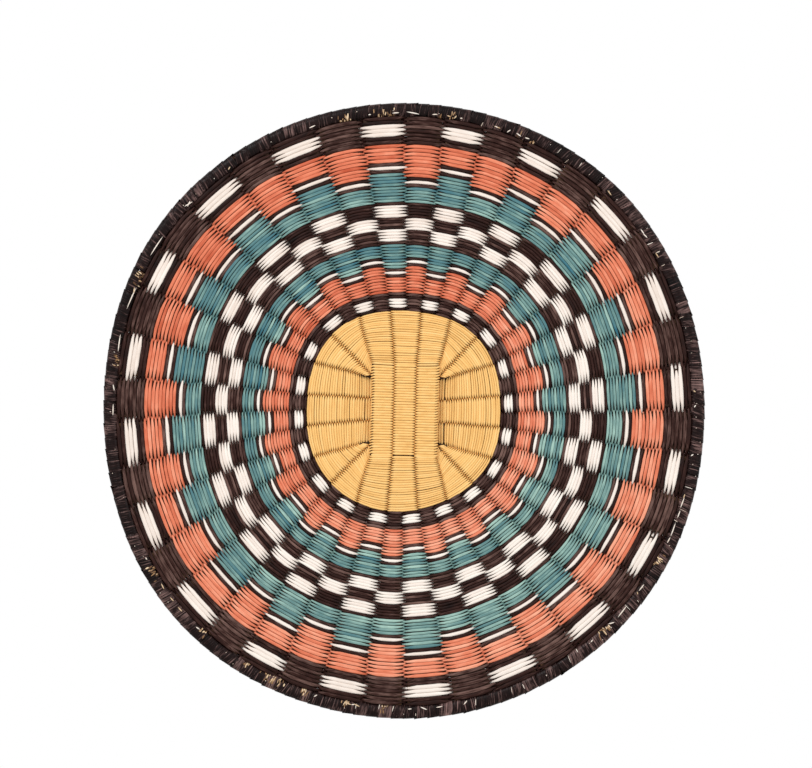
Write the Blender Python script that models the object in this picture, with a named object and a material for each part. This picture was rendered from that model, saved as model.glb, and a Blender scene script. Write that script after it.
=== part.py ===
# Wicker plaque: flat bundles of sticks crossed at the centre, forked into forty spokes,
# with rings of weft going over and under them, and a wrapped rim.
#
# The plaque stands upright. Its face looks along -Y, +Z is up, and the origin is on its back,
# in the middle of the rear centre panel, where it bears on a wall.

from math import cos, hypot, pi, sin

import bmesh
import bpy

MM = 0.001

# Overall size
WIDE = 323.5 * MM
TALL = 332.6 * MM
RIM_WIDTH = 7.0 * MM

# Sticks and rods
SPOKE_THICK = 2.4 * MM
WEFT_THICK = 1.3 * MM
SHED = 3.0 * MM  # room between two spokes, where the wefts change sides
TAPER = 2.2 * MM  # stretch over which a weft spreads, once it is on a spoke

# Clearances
SEAT = 0.3 * MM  # between a piece and what it lies on
SIDE_ROOM = 0.5 * MM  # between a weft and the edge of a spoke
ROW_ROOM = 0.4 * MM  # between neighbouring wefts

# Centre panels
BUNDLE_STEPS = (-1, 0, 1)  # places of the bundles in a panel
BUNDLE_PITCH = 12.0 * MM
PANEL_LONG = 48.0 * MM
PANEL_PASSES = 8  # an even number leaves a weft in the very middle

# Round weave
CENTRE_RADIUS = 52.4 * MM  # edge of the yellow centre, where the spokes fork
CENTRE_PAIRS = 2  # pairs of yellow wefts
CORNER_SPOKES = 2  # spokes in each corner between the panels
EVEN_ROWS = 36  # rods beaten down equally tight; the pitch grows outside them
ROW_PITCH = 1.62 * MM
ROWS_PER_RIB = 4  # rods that one rib of a wide weft stands for
RIB_GROOVE = 0.6 * MM  # depth of the valley between two ribs

# Rim
LAPS = 60
LAP_STEP = 0.45 * MM
LAP_EDGE = 0.5 * MM
STRIP_THICK = 1.0 * MM
CORE_THICK = 2.6 * MM
LIP_RISE = 1.0 * MM  # from the core's face out to the lips of the wrapping

# Rows and colour of each weft: those that show on the light spokes, and on the dark ones between
LIGHT_BANDS = (
    (0, 6, "white"),
    (6, 11, "coral"),
    (11, 22, "teal"),
    (22, 27, "white"),
    (27, 31, "black"),
    (31, 36, "white"),
    (36, 46, "teal"),
    (46, 53, "coral"),
    (53, 60, "white"),
)
DARK_BANDS = (
    (0, 6, "black"),
    (6, 15, "coral"),
    (15, 22, "teal"),
    (22, 27, "black"),
    (27, 31, "white"),
    (31, 36, "black"),
    (36, 41, "teal"),
    (41, 53, "coral"),
    (53, 60, "black"),
)

# Finishes: sRGB colour and roughness
FINISHES = {
    "white": ("EFE3D2", 0.55),
    "black": ("33241F", 0.5),
    "coral": ("E0714E", 0.6),
    "teal": ("4C948E", 0.6),
    "yellow": ("E9B85C", 0.5),
    "stick": ("B08A54", 0.7),
    "strip": ("2B2426", 0.4),
}

SLANT = 0.5**0.5  # sine of 45 degrees

# Worked out from the sizes above
ROWS = DARK_BANDS[-1][1]  # rods that show on one spoke of the coloured field
RADIUS = (WIDE + TALL) / 4
ACROSS = WIDE / 2 / RADIUS
UP = TALL / 2 / RADIUS
COLUMNS = 4 * (len(BUNDLE_STEPS) + CORNER_SPOKES)
SPOKES = 2 * COLUMNS
FIELD_RADIUS = RADIUS - RIM_WIDTH
FLOAT_LOW = SPOKE_THICK / 2 + SEAT
FLOAT_HIGH = FLOAT_LOW + WEFT_THICK
PANEL_DEPTH = FLOAT_HIGH + SEAT / 2
BACK = PANEL_DEPTH + FLOAT_HIGH
PANEL_SIDE = BUNDLE_PITCH * len(BUNDLE_STEPS) / 2
PANEL_EDGE = PANEL_SIDE - SHED / 2 + SIDE_ROOM + SEAT  # where its weft turns
PANEL_CORNER = PANEL_EDGE + WEFT_THICK + SEAT + SHED / 2 * SLANT  # where the corner spokes start
FORK_RADIUS = CENTRE_RADIUS - 2 * SEAT
WRAP_INSIDE = RADIUS - STRIP_THICK - LAP_STEP
CORE_RADIUS = WRAP_INSIDE - SEAT - CORE_THICK / 2
SPOKE_END = (CORE_RADIUS - CORE_THICK / 2) * cos(pi / LAPS) - SEAT


def place(across, up, depth):
    """World point of a point on the plaque. Depth is counted from mid-thickness, towards the face."""
    return (across * ACROSS, -(depth + BACK), up * UP)


def clear_scene():
    for thing in list(bpy.data.objects):
        bpy.data.objects.remove(thing)


def linear(channel):
    """Linear value of one sRGB channel."""
    return channel / 12.92 if channel <= 0.04045 else ((channel + 0.055) / 1.055) ** 2.4


def finish(thing, name):
    """Gives a piece its own material, of one of the finishes."""
    colour, roughness = FINISHES[name]
    material = bpy.data.materials.new(f"{thing.name}_{name}")
    material.use_nodes = True
    shader = material.node_tree.nodes["Principled BSDF"]
    channels = [linear(int(colour[i : i + 2], 16) / 255) for i in (0, 2, 4)]
    shader.inputs["Base Color"].default_value = (*channels, 1)
    shader.inputs["Roughness"].default_value = roughness
    shader.inputs["Metallic"].default_value = 0
    thing.data.materials.append(material)


def add_piece(name, points, faces, finish_name, thickness=0):
    """One closed piece from its points and faces. A thickness makes it from a sheet, which grows from
    its back towards the plaque's face."""
    mesh = bpy.data.meshes.new(name)
    mesh.from_pydata(points, [], faces)
    shape = bmesh.new()
    shape.from_mesh(mesh)
    if thickness:
        made = bmesh.ops.extrude_face_region(shape, geom=shape.faces[:])["geom"]
        moved = [part for part in made if isinstance(part, bmesh.types.BMVert)]
        bmesh.ops.translate(shape, verts=moved, vec=(0, -thickness, 0))
    bmesh.ops.recalc_face_normals(shape, faces=shape.faces)
    shape.to_mesh(mesh)
    shape.free()
    thing = bpy.data.objects.new(name, mesh)
    plaque.objects.link(thing)
    finish(thing, finish_name)


def centre_seam(number):
    """The line between two spokes of the centre, from the panels (reach 0) to the fork (reach 1).
    It gives the point at a reach and at a distance to its side, clockwise."""
    half_long = PANEL_LONG / 2
    near = BUNDLE_PITCH / 2
    quarter = (
        ((near, half_long), (1, 0)),
        ((PANEL_SIDE, half_long), (1, 0)),
        ((PANEL_CORNER, PANEL_CORNER), (SLANT, -SLANT)),
        ((half_long, PANEL_SIDE), (0, -1)),
        ((half_long, near), (0, -1)),
    )
    turns, place_in_quarter = divmod((number - 1) % COLUMNS, len(quarter))
    start, start_side = quarter[place_in_quarter]
    for _ in range(turns):
        start = (start[1], -start[0])
        start_side = (start_side[1], -start_side[0])
    angle = 2 * pi / COLUMNS * (number - 0.5)
    end = (CENTRE_RADIUS * sin(angle), CENTRE_RADIUS * cos(angle))
    end_side = (cos(angle), -sin(angle))

    def point(reach, beside):
        line = [a + (b - a) * reach for a, b in zip(start, end)]
        side = [a + (b - a) * reach for a, b in zip(start_side, end_side)]
        return [a + beside * b for a, b in zip(line, side)]

    return point


def field_seam(number):
    """The line between two spokes of the coloured field. Its reach is a radius."""
    angle = 2 * pi / SPOKES * (number - 1)

    def point(reach, beside):
        return (reach * sin(angle) + beside * cos(angle), reach * cos(angle) - beside * sin(angle))

    return point


def sag(column, reach):
    """How far a spoke of the centre lies in front of mid-thickness. The upright bundles come from the
    front panel and the level ones from the rear panel, and all meet at the fork."""
    around = (column + 1) % (COLUMNS // 2)
    half_turn = COLUMNS // 4
    if around < len(BUNDLE_STEPS):
        return PANEL_DEPTH * (1 - reach)
    if half_turn <= around < half_turn + len(BUNDLE_STEPS):
        return -PANEL_DEPTH * (1 - reach)
    return 0


def row_radius(row):
    """Radius of the outer side of a row of the coloured field."""
    spare = FIELD_RADIUS - CENTRE_RADIUS - ROWS * ROW_PITCH
    grown = max(0, row - EVEN_ROWS) / (ROWS - EVEN_ROWS)
    return CENTRE_RADIUS + row * ROW_PITCH + spare * grown**2


def with_room(low, high, room):
    """A stretch, less the room that a weft leaves its neighbours."""
    return low + room / 2, high - room / 2


def crossing(before, after, reach):
    """The two points at which a line at one reach has just come up onto a spoke."""
    left = before(reach, SHED / 2)
    right = after(reach, -SHED / 2)
    share = min(TAPER / hypot(right[0] - left[0], right[1] - left[1]), 1 / 3)
    return [(*[a + (b - a) * part for a, b in zip(left, right)], reach) for part in (share, 1 - share)]


def rail(before, after, narrow, wide, spread):
    """One long edge of a float, from the seam before a spoke to the seam after it. It runs at the reach
    narrow beside the spoke, and where it spreads, at the reach wide on it."""
    beside = SHED / 2 - SIDE_ROOM
    start = (*before(narrow, beside), narrow)
    end = (*after(narrow, -beside), narrow)
    return [start, *crossing(before, after, wide), end] if spread else [start, end]


def ribbed_faces(a, b, c, lines):
    """Faces over a float with ribs: strips along it, and a fan at either end."""
    faces = []
    for side, end in ((0, 0), (1, 3)):
        chain = [a[end], a[1 + side], *[line[side] for line in lines], b[1 + side], b[end]]
        faces += [(c[side], here, there) for here, there in zip(chain, chain[1:])]
    lines = [(a[1], a[2]), *lines, (b[1], b[2])]
    faces += [(here[0], there[0], there[1], here[1]) for here, there in zip(lines, lines[1:])]
    return faces


def crowned_faces(a, b, c):
    """Faces over a float with one crown line."""
    faces = []
    for edge in (a, b):
        if len(edge) == 2:
            faces.append((c[0], c[1], edge[1], edge[0]))
        else:
            faces.append((c[0], c[1], edge[2], edge[1]))
            faces.append((c[0], edge[1], edge[0]))
            faces.append((c[1], edge[3], edge[2]))
    return faces


def weft_float(before, after, slot, band, low, high, put, depth_at=lambda reach: 0, ribs=1):
    """The stretch of a weft that lies over or under one spoke. It passes the seams within the slot and
    spreads over the band. Its flat side is at depth low, its crown or ribs at depth high."""
    inner = rail(before, after, slot[0], band[0], slot[0] != band[0] or ribs > 1)
    outer = rail(before, after, slot[1], band[1], slot[1] != band[1] or ribs > 1)
    margin = (slot[1] - slot[0]) / 4
    crest = min(max((band[0] + band[1]) / 2, slot[0] + margin), slot[1] - margin)
    crown = rail(before, after, crest, crest, False)
    points = [put(x, z, depth_at(reach) + low) for x, z, reach in inner + outer]
    points += [put(x, z, depth_at(reach) + high) for x, z, reach in crown]
    a = list(range(len(inner)))
    b = list(range(len(inner), len(inner) + len(outer)))
    c = (len(points) - 2, len(points) - 1)
    faces = [a + b[::-1]]
    if ribs == 1:
        faces += crowned_faces(a, b, c)
        return points, faces, (a[0], b[0], c[0]), (a[-1], b[-1], c[1])
    valley = high - RIB_GROOVE if high > low else high + RIB_GROOVE
    lines = []
    for line in range(1, 2 * ribs):
        reach = band[0] + (band[1] - band[0]) * line / (2 * ribs)
        lines.append((len(points), len(points) + 1))
        depth = depth_at(reach) + (high if line % 2 else valley)
        points += [put(x, z, depth) for x, z, _ in crossing(before, after, reach)]
    faces += ribbed_faces(a, b, c, lines)
    return points, faces, (a[0], b[0], c[0]), (a[-1], b[-1], c[1])


def turn(points):
    """A bend of a weft round the edge of a panel: a bare three-cornered section."""
    return points, [], (0, 1, 2), (0, 1, 2)


def add_weft(name, pieces, closed, finish_name):
    """One weft from its floats and turns, in order."""
    points = []
    faces = []
    ends = []
    for piece_points, piece_faces, start, end in pieces:
        first = len(points)
        points += piece_points
        faces += [[first + corner for corner in face] for face in piece_faces]
        ends.append([[first + corner for corner in section] for section in (start, end)])
    joins = list(zip(ends, ends[1:]))
    if closed:
        joins.append((ends[-1], ends[0]))
    else:
        faces += [ends[0][0], ends[-1][1]]
    for (_, leaving), (arriving, _) in joins:
        for i in range(3):
            j = (i + 1) % 3
            faces.append((leaving[i], leaving[j], arriving[j], arriving[i]))
    add_piece(name, points, faces, finish_name)


def add_ring(name, seams, over_even, slot, band, finish_name, sag_at, ribs=1):
    """A closed weft that goes over every second spoke and under those between."""
    pieces = []
    for number, before in enumerate(seams):
        after = seams[(number + 1) % len(seams)]
        over = (number % 2 == 0) == over_even
        low, high = (FLOAT_LOW, FLOAT_HIGH) if over else (-FLOAT_HIGH, -FLOAT_LOW)

        def depth_at(reach, column=number):
            return sag_at(column, reach)

        pieces.append(weft_float(before, after, slot, band, low, high, place, depth_at, ribs))
    add_weft(name, pieces, True, finish_name)


def coloured_wefts():
    """The coloured rings. They pass the seams in the order of the middles of their bands."""
    seams = [field_seam(number) for number in range(SPOKES)]
    rings = []
    for kind, bands in (("light", LIGHT_BANDS), ("dark", DARK_BANDS)):
        for number, (start, end, colour) in enumerate(bands, 1):
            name = f"weft_{kind}_{number}_{colour}"
            rings.append(((start + end) / 2, kind == "dark", start, end, colour, name))
    rings.sort()
    parting = [0]
    for (middle, _, _, end, _, _), (next_middle, *_) in zip(rings, rings[1:]):
        parting.append(end if end < next_middle else (middle + next_middle) / 2)
    parting.append(ROWS)
    for i, (_, dark, start, end, colour, name) in enumerate(rings):
        low, high = max(parting[i], start), min(parting[i + 1], end)
        slot = with_room(row_radius(low), row_radius(high), ROW_ROOM)
        band = with_room(row_radius(start), row_radius(end), ROW_ROOM)
        ribs = max(int((end - start) / ROWS_PER_RIB), 1)
        add_ring(name, seams, not dark, slot, band, colour, lambda column, reach: 0, ribs)


def centre_wefts():
    """The yellow rings between the panels and the fork."""
    seams = [centre_seam(number) for number in range(COLUMNS)]
    room = ROW_ROOM / (CENTRE_RADIUS - hypot(PANEL_CORNER, PANEL_CORNER))
    for pair in range(CENTRE_PAIRS):
        start, middle, end = [(pair + part) / CENTRE_PAIRS for part in (0, 0.5, 1)]
        band = with_room(start, end, room)
        add_ring(
            f"weft_centre_{2 * pair + 1}", seams, True, with_room(start, middle, room), band, "yellow", sag
        )
        add_ring(
            f"weft_centre_{2 * pair + 2}", seams, False, with_room(middle, end, room), band, "yellow", sag
        )


def panel_weft(name, put):
    """The weft of a centre panel, one strip that goes back and forth over and under its bundles and
    round their outer edges. It is drawn with the bundles upright."""
    pitch = PANEL_LONG / PANEL_PASSES
    last = len(BUNDLE_STEPS) - 1

    def stretch(first_row, end_row):
        rows = (max(first_row, 0), min(end_row, PANEL_PASSES))
        return with_room(*[row * pitch - PANEL_LONG / 2 for row in rows], ROW_ROOM)

    def edge_of(step):
        return lambda reach, beside: (BUNDLE_PITCH * (step - 0.5) + beside, reach)

    pieces = []
    for row in range(PANEL_PASSES):
        rightward = row % 2 == 0
        slot = stretch(row, row + 1)
        for column in range(last + 1) if rightward else range(last, -1, -1):
            step = BUNDLE_STEPS[column]
            over = (row + column) % 2 == 0
            low, high = (FLOAT_LOW, FLOAT_HIGH) if over else (-FLOAT_HIGH, -FLOAT_LOW)
            if not rightward:
                low, high = high, low
            band = stretch(row if row > 1 else 0, row + 2)
            points, faces, start, end = weft_float(
                edge_of(step), edge_of(step + 1), slot, band, low, high, put
            )
            if not rightward:
                start, end = end, start
            pieces.append((points, faces, start, end))
        if row + 1 < PANEL_PASSES:
            reach = stretch(row + 0.5, row + 1.5)
            middle = (reach[0] + reach[1]) / 2
            way = 1 if rightward else -1
            flat, crown = way * PANEL_EDGE, way * (PANEL_EDGE + WEFT_THICK)
            pieces.append(turn([put(flat, reach[0], 0), put(flat, reach[1], 0), put(crown, middle, 0)]))
    add_weft(name, pieces, False, "yellow")


def fork(column):
    """Points of one spoke from the panels to the fork, and of its two arms to the rim, at the back of
    its thickness, with the faces between them. The first two points are its inner corners."""
    half = SHED / 2
    before, after = centre_seam(column), centre_seam(column + 1)
    stations = [(before(reach, half), after(reach, -half), reach) for reach in (0, 0.5, 1)]
    points = []
    for left, right, reach in stations:
        depth = sag(column, reach) - SPOKE_THICK / 2
        points += [place(*left, depth), place(*right, depth)]
    first, middle, last = [field_seam(2 * column + step) for step in (0, 1, 2)]
    arms = (
        middle(FORK_RADIUS, -half),
        middle(FORK_RADIUS, half),
        first(SPOKE_END, half),
        middle(SPOKE_END, -half),
        middle(SPOKE_END, half),
        last(SPOKE_END, -half),
    )
    points += [place(*corner, -SPOKE_THICK / 2) for corner in arms]
    faces = [(0, 1, 3, 2), (2, 3, 5, 7, 6, 4), (4, 6, 9, 8), (7, 5, 11, 10)]
    return points, faces


def corner_spokes():
    """The spokes that start at the corners of the panels."""
    number = 0
    for column in range(COLUMNS):
        if sag(column, 0) == 0:
            number += 1
            points, faces = fork(column)
            add_piece(f"corner_spoke_{number}", points, faces, "stick", SPOKE_THICK)


def panel_bundles():
    """Three upright bundles through the front panel, and three level ones through the rear panel. Each
    is a fork at both ends and the flat stretch between."""
    for kind, first_column in (("upright", 0), ("level", COLUMNS // 4)):
        for number, step in enumerate(BUNDLE_STEPS, 1):
            points, faces = fork((first_column + step) % COLUMNS)
            far_points, far_faces = fork((first_column + COLUMNS // 2 - step) % COLUMNS)
            far = len(points)
            faces += [[far + corner for corner in face] for face in far_faces]
            faces.append((0, 1, far, far + 1))
            add_piece(f"{kind}_bundle_{number}", points + far_points, faces, "stick", SPOKE_THICK)


def rim_ring(name, sections, finish_name):
    """A closed ring through sections of radius and depth, each at its own angle."""
    points = []
    faces = []
    for angle, corners in sections:
        points += [place(radius * sin(angle), radius * cos(angle), depth) for radius, depth in corners]
    size = len(points) // len(sections)
    for section in range(len(sections)):
        here = section * size
        there = (section + 1) % len(sections) * size
        for i in range(size):
            j = (i + 1) % size
            faces.append((here + i, here + j, there + j, there + i))
    add_piece(name, points, faces, finish_name)


def rim_core():
    """The bent-over ends of the spokes, laid along the edge."""
    half = CORE_THICK / 2
    corners = [(CORE_RADIUS + a * half, b * half) for a, b in ((-1, -1), (1, -1), (1, 1), (-1, 1))]
    rim_ring("rim_core", [(2 * pi / LAPS * lap, corners) for lap in range(LAPS)], "stick")


def wrap_section(lift):
    """Section of the wrapping. It is open inwards, where the spokes come in."""
    lip = FIELD_RADIUS + SEAT
    wall = CORE_THICK / 2 + SEAT
    lips = CORE_THICK / 2 + LIP_RISE
    outer = RADIUS - LAP_STEP + lift
    face = lips + lift
    return (
        (lip, lips),
        (outer, face),
        (outer, -face),
        (lip, -lips),
        (WRAP_INSIDE, -wall),
        (WRAP_INSIDE, wall),
    )


def rim_wrap():
    """The wrapping of leaf strip. Each lap starts on top of the end of the one before it."""
    sections = []
    for lap in range(LAPS):
        start = 2 * pi / LAPS * lap
        end = 2 * pi / LAPS * (lap + 1) - LAP_EDGE / RADIUS
        sections += [(start, wrap_section(LAP_STEP)), (end, wrap_section(0))]
    rim_ring("rim_wrap", sections, "strip")


clear_scene()
plaque = bpy.data.collections.new("wicker_plaque")
bpy.context.scene.collection.children.link(plaque)
panel_bundles()
corner_spokes()
panel_weft("front_panel_weft", lambda across, up, depth: place(across, up, PANEL_DEPTH + depth))
panel_weft("rear_panel_weft", lambda across, up, depth: place(up, across, -PANEL_DEPTH - depth))
centre_wefts()
coloured_wefts()
rim_core()
rim_wrap()
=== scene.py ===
# %% [markdown]
# # A wicker plaque, dressed for the camera
#
# The plaque is already built as plain solids: bundles of sticks, rings of weft and a wrapped rim.
# This lesson gives it its looks. Each ring of weft stands for several thin stems, so most of the
# solids are replaced by the stems themselves, laid over and under the spokes one by one.
# The imported model is loaded first, and the boxes of its parts are read from it later.

import bpy
import numpy as np
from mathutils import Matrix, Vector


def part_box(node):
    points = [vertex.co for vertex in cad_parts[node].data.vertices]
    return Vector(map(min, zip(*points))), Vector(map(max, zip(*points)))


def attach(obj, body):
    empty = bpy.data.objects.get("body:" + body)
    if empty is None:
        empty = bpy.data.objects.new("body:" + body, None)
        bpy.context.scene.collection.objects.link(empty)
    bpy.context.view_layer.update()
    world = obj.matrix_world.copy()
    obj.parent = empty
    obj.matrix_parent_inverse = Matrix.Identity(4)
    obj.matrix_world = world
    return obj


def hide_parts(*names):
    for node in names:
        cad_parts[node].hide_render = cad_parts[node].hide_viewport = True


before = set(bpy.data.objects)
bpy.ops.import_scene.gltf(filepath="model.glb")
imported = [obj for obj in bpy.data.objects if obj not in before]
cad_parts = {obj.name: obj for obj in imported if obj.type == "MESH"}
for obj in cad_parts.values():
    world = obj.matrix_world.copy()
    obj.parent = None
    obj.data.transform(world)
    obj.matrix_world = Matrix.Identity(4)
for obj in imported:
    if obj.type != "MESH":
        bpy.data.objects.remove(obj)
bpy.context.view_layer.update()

# %% [markdown]
# ## The camera
#
# The photograph looks at the plaque square from the front. The plaque hangs a little below the middle
# of the picture, which only means that the camera is level and a little higher than the plaque's middle.
# A long lens from a good distance keeps a flat thing flat. One pixel of the photograph is 0.54 mm there.
# Lengths are in mm all through the lesson, and become metres only where Blender gets them.

# %% Set up the camera
MM = 0.001
PHOTO_WIDE = 812
PIXEL = 0.54  # of the plaque, in one pixel of the photograph
SENSOR = 36
CAMERA_AWAY = 2400
CAMERA_ASIDE = 1.5 * PIXEL
CAMERA_ABOVE = 26.5 * PIXEL
MIDDLE_Y = -5.75  # mid-thickness of the plaque

lens = bpy.data.cameras.new("camera")
lens.sensor_width = SENSOR
lens.lens = SENSOR * CAMERA_AWAY / (PHOTO_WIDE * PIXEL)
camera = bpy.data.objects.new("camera", lens)
camera.location = (CAMERA_ASIDE * MM, (MIDDLE_Y - CAMERA_AWAY) * MM, CAMERA_ABOVE * MM)
camera.rotation_euler = (np.pi / 2, 0, 0)
bpy.context.scene.collection.objects.link(camera)
bpy.context.scene.camera = camera
bpy.context.scene.view_settings.view_transform = "Standard"
print("lens", round(lens.lens), "mm")

# %% [markdown]
# ## Colours and nodes
#
# Colours are written as in any paint program, as sRGB hex. Blender computes with linear light, so one
# function turns them. Materials are built from nodes, and one small function adds a node, sets it and
# connects it, so that a material reads from its first node to its last.


# %% Helpers for colours and nodes
def linear(colour):
    """Linear red, green, blue and full alpha of an sRGB hex colour."""
    channels = [int(colour[i : i + 2], 16) / 255 for i in (0, 2, 4)]
    return [c / 12.92 if c <= 0.04045 else ((c + 0.055) / 1.055) ** 2.4 for c in channels] + [1]


def set_inputs(tree, node, inputs):
    """Gives inputs of a node, by name or number, a value or the output of another node."""
    for socket, value in inputs.items():
        if isinstance(value, bpy.types.NodeSocket):
            tree.links.new(value, node.inputs[socket])
        else:
            node.inputs[socket].default_value = value


def add_node(tree, kind, inputs=None, **settings):
    """Adds a shader node with its settings and inputs."""
    node = tree.nodes.new("ShaderNode" + kind)
    for setting, value in settings.items():
        setattr(node, setting, value)
    set_inputs(tree, node, inputs or {})
    return node


def set_ramp(node, places, colours):
    """Gives a Color Ramp its stops: places from 0 to 1, and a hex colour for each."""
    band = node.color_ramp
    while len(band.elements) < len(places):
        band.elements.new(0.5)
    for element, place, colour in zip(band.elements, places, colours):
        element.position = place
        element.color = linear(colour)


print("middle grey in linear light", round(linear("808080")[0], 3))

# %% [markdown]
# ## Floor, background and light
#
# The plaque hangs in front of a white studio. The floor is pale card, a hand below the plaque, where the
# photograph's frame doesn't reach. The white behind is the world itself, seen only by the camera and in
# reflections: the world that lights the plaque is dimmer, so that a colour shows as it is written. One
# large soft lamp from the upper left and a weaker one from the right give the stems a gentle side.

# %% Floor
FLOOR_Z = -300
FLOOR_SIZE = 2400

corners = [(x * FLOOR_SIZE / 2 * MM, y * FLOOR_SIZE / 2 * MM, FLOOR_Z * MM) for x, y in
           ((-1, -1), (1, -1), (1, 1), (-1, 1))]
mesh = bpy.data.meshes.new("floor")
mesh.from_pydata(corners, [], [(0, 1, 2, 3)])
floor = bpy.data.objects.new("floor", mesh)
bpy.context.scene.collection.objects.link(floor)

card = bpy.data.materials.new("white_card_matt")
card.use_nodes = True
tree = card.node_tree
seen = add_node(tree, "LightPath")
pale = add_node(tree, "Mix", {0: seen.outputs["Is Camera Ray"], 6: linear("DDDCDA"), 7: linear("FDFDFD")},
                data_type="RGBA")
set_inputs(tree, tree.nodes["Principled BSDF"], {"Base Color": pale.outputs[2], "Roughness": 0.9})
floor.data.materials.append(card)
print("floor", FLOOR_SIZE, "mm wide, at", FLOOR_Z, "mm")

# %% World
SKY_LIGHT = 0.65  # strength for all but the camera and reflections, which see 1

world = bpy.data.worlds.new("studio")
bpy.context.scene.world = world
world.use_nodes = True
tree = world.node_tree
tree.nodes.clear()
seen = add_node(tree, "LightPath")
white = seen.outputs["Is Camera Ray"]
for ray in ("Is Glossy Ray", "Is Transmission Ray"):
    either = add_node(tree, "Math", {0: white, 1: seen.outputs[ray]}, operation="ADD", use_clamp=True)
    white = either.outputs[0]
level = add_node(tree, "MapRange", {"Value": white, "To Min": SKY_LIGHT, "To Max": 1})
sky = add_node(tree, "Background", {"Color": (1, 1, 1, 1), "Strength": level.outputs[0]})
add_node(tree, "OutputWorld", {"Surface": sky.outputs[0]})
print("the world lights the plaque at", SKY_LIGHT)

# %% Lamps
LAMPS = (
    # name, place in mm, side in mm, watts
    ("key", (-900, -1500, 1300), 900, 21.3),
    ("fill", (1400, -1300, 500), 1100, 6.3),
)

for name, place_mm, side, watts in LAMPS:
    light = bpy.data.lights.new(name, "AREA")
    light.shape = "SQUARE"
    light.size = side * MM
    light.energy = watts
    lamp = bpy.data.objects.new(name, light)
    lamp.location = [v * MM for v in place_mm]
    lamp.rotation_euler = (-lamp.location).to_track_quat("-Z", "Y").to_euler()
    bpy.context.scene.collection.objects.link(lamp)
print("lamps", [lamp[0] for lamp in LAMPS])

# %% [markdown]
# ## Sizes of the weave
#
# These are the sizes that the solids were built from. The dressed pieces need them again, because every
# stem has to lie where its solid is. The plaque is drawn as a round of one radius, and then made narrower
# across and taller, since a plaque made by hand is never quite round.

# %% Sizes
WIDE = 323.5
TALL = 332.6
RADIUS = (WIDE + TALL) / 4
ACROSS = WIDE / 2 / RADIUS  # share of the round's size
UP = TALL / 2 / RADIUS
RIM_WIDTH = 7.0
FIELD_RADIUS = RADIUS - RIM_WIDTH
CENTRE_RADIUS = 52.4  # of the yellow centre, where the spokes fork
BUNDLE_PITCH = 12.0
PANEL_LONG = 48.0
REAR_PANEL_LONG = 44.0
PANEL_SIDE = 18.0  # half the width of three bundles
PANEL_CORNER = 18.4  # where the line between two corner spokes starts
PANEL_DEPTH = 2.95  # of a panel before or behind mid-thickness
SPOKE_THICK = 2.4
COLUMNS = 20  # spokes of the yellow centre
SPOKES = 40  # spokes of the coloured field
ROWS = 60  # rows that show on each of them
EVEN_ROWS = 36  # as many have the same pitch, and the rest grow wider
ROW_PITCH = 1.62


def place(points):
    """World points, in metres, from mm across, up and forward of mid-thickness."""
    return np.stack([points[:, 0] * ACROSS, MIDDLE_Y - points[:, 2], points[:, 1] * UP], 1) * MM


def polar(radius, angle, depth):
    """Points at some radius and angle, clockwise from the top."""
    return np.stack([radius * np.sin(angle), radius * np.cos(angle), depth], 1)


def row_radius(row):
    """Radius of the inner side of a row of the coloured field. Rows grow wider towards the rim."""
    spare = FIELD_RADIUS - CENTRE_RADIUS - ROWS * ROW_PITCH
    return CENTRE_RADIUS + row * ROW_PITCH + spare * (max(0, row - EVEN_ROWS) / (ROWS - EVEN_ROWS)) ** 2


print("rows are", round(row_radius(1) - row_radius(0), 2), "to",
      round(row_radius(ROWS) - row_radius(ROWS - 1), 2), "mm wide")

# %% [markdown]
# ## The hand of the weaver
#
# A plaque drawn with a compass looks dead. On the real one the rounds are slightly square, the spokes
# lean a degree or two, and the middle is turned a little. Slow waves of the angle and of the radius
# give that, and they die out towards the panels, which stay square. They are applied to every point last
# of all, so that stems, spokes and rim stay together.

# %% Slow waves of angle and radius
TURN_AT = (0, 20, 57, 150)  # radius
TURN_BY = (1.6, 1.6, 0.6, -1.1)  # clockwise, in degrees
WAVES_FROM = 22  # radius where the waves set in
WAVES_OVER = 30  # distance over which they reach their whole size
LEAN = (
    # waves round the plaque, then cosine and sine part at the centre's edge and at the rim, in degrees
    (1, -0.3, 0.15, -0.35, 0.4),
    (2, 0.3, 0.0, 0.5, 0.0),
    (3, 0.15, -0.1, 0.2, -0.35),
    (4, 0.0, -0.1, 0.6, -0.55),
)
SWELL = (
    # the same for the radius
    (0, 2.0, 0.0, 1.2, 0.0),
    (1, 0.3, -0.75, 0.0, -0.45),
    (2, 0.0, 0.3, -0.6, 0.3),
    (3, -0.3, -0.4, -0.1, -0.1),
    (4, -1.1, 0.1, -1.1, -0.1),
    (5, -0.35, -0.1, -0.1, 0.1),
    (6, 0.1, 0.0, 0.3, -0.1),
)


def smooth(share):
    """A soft step from 0 to 1."""
    share = np.clip(share, 0, 1)
    return share * share * (3 - 2 * share)


def mix(first, second, share):
    """Goes from the first value to the second, as the share goes from 0 to 1."""
    return first + (second - first) * share


def waves(table, angle, share):
    """Sum of slow waves. Their sizes change evenly from the centre's edge to the rim."""
    total = 0 * angle
    for number, cosine, sine, rim_cosine, rim_sine in table:
        total += mix(cosine, rim_cosine, share) * np.cos(number * angle)
        total += mix(sine, rim_sine, share) * np.sin(number * angle)
    return total


def by_hand(points):
    """Moves points of the drawn plaque to where the weaver's hand put them."""
    radius = np.hypot(points[:, 0], points[:, 1])
    angle = np.arctan2(points[:, 0], points[:, 1])
    share = np.clip((radius - CENTRE_RADIUS) / (RADIUS - CENTRE_RADIUS), 0, 1)
    ripe = smooth((radius - WAVES_FROM) / WAVES_OVER)
    lean = np.interp(radius, TURN_AT, TURN_BY) + ripe * waves(LEAN, angle, share)
    moved = radius + ripe * waves(SWELL, angle, share)
    angle = angle + np.radians(lean)
    return polar(moved, angle, points[:, 2])


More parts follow.
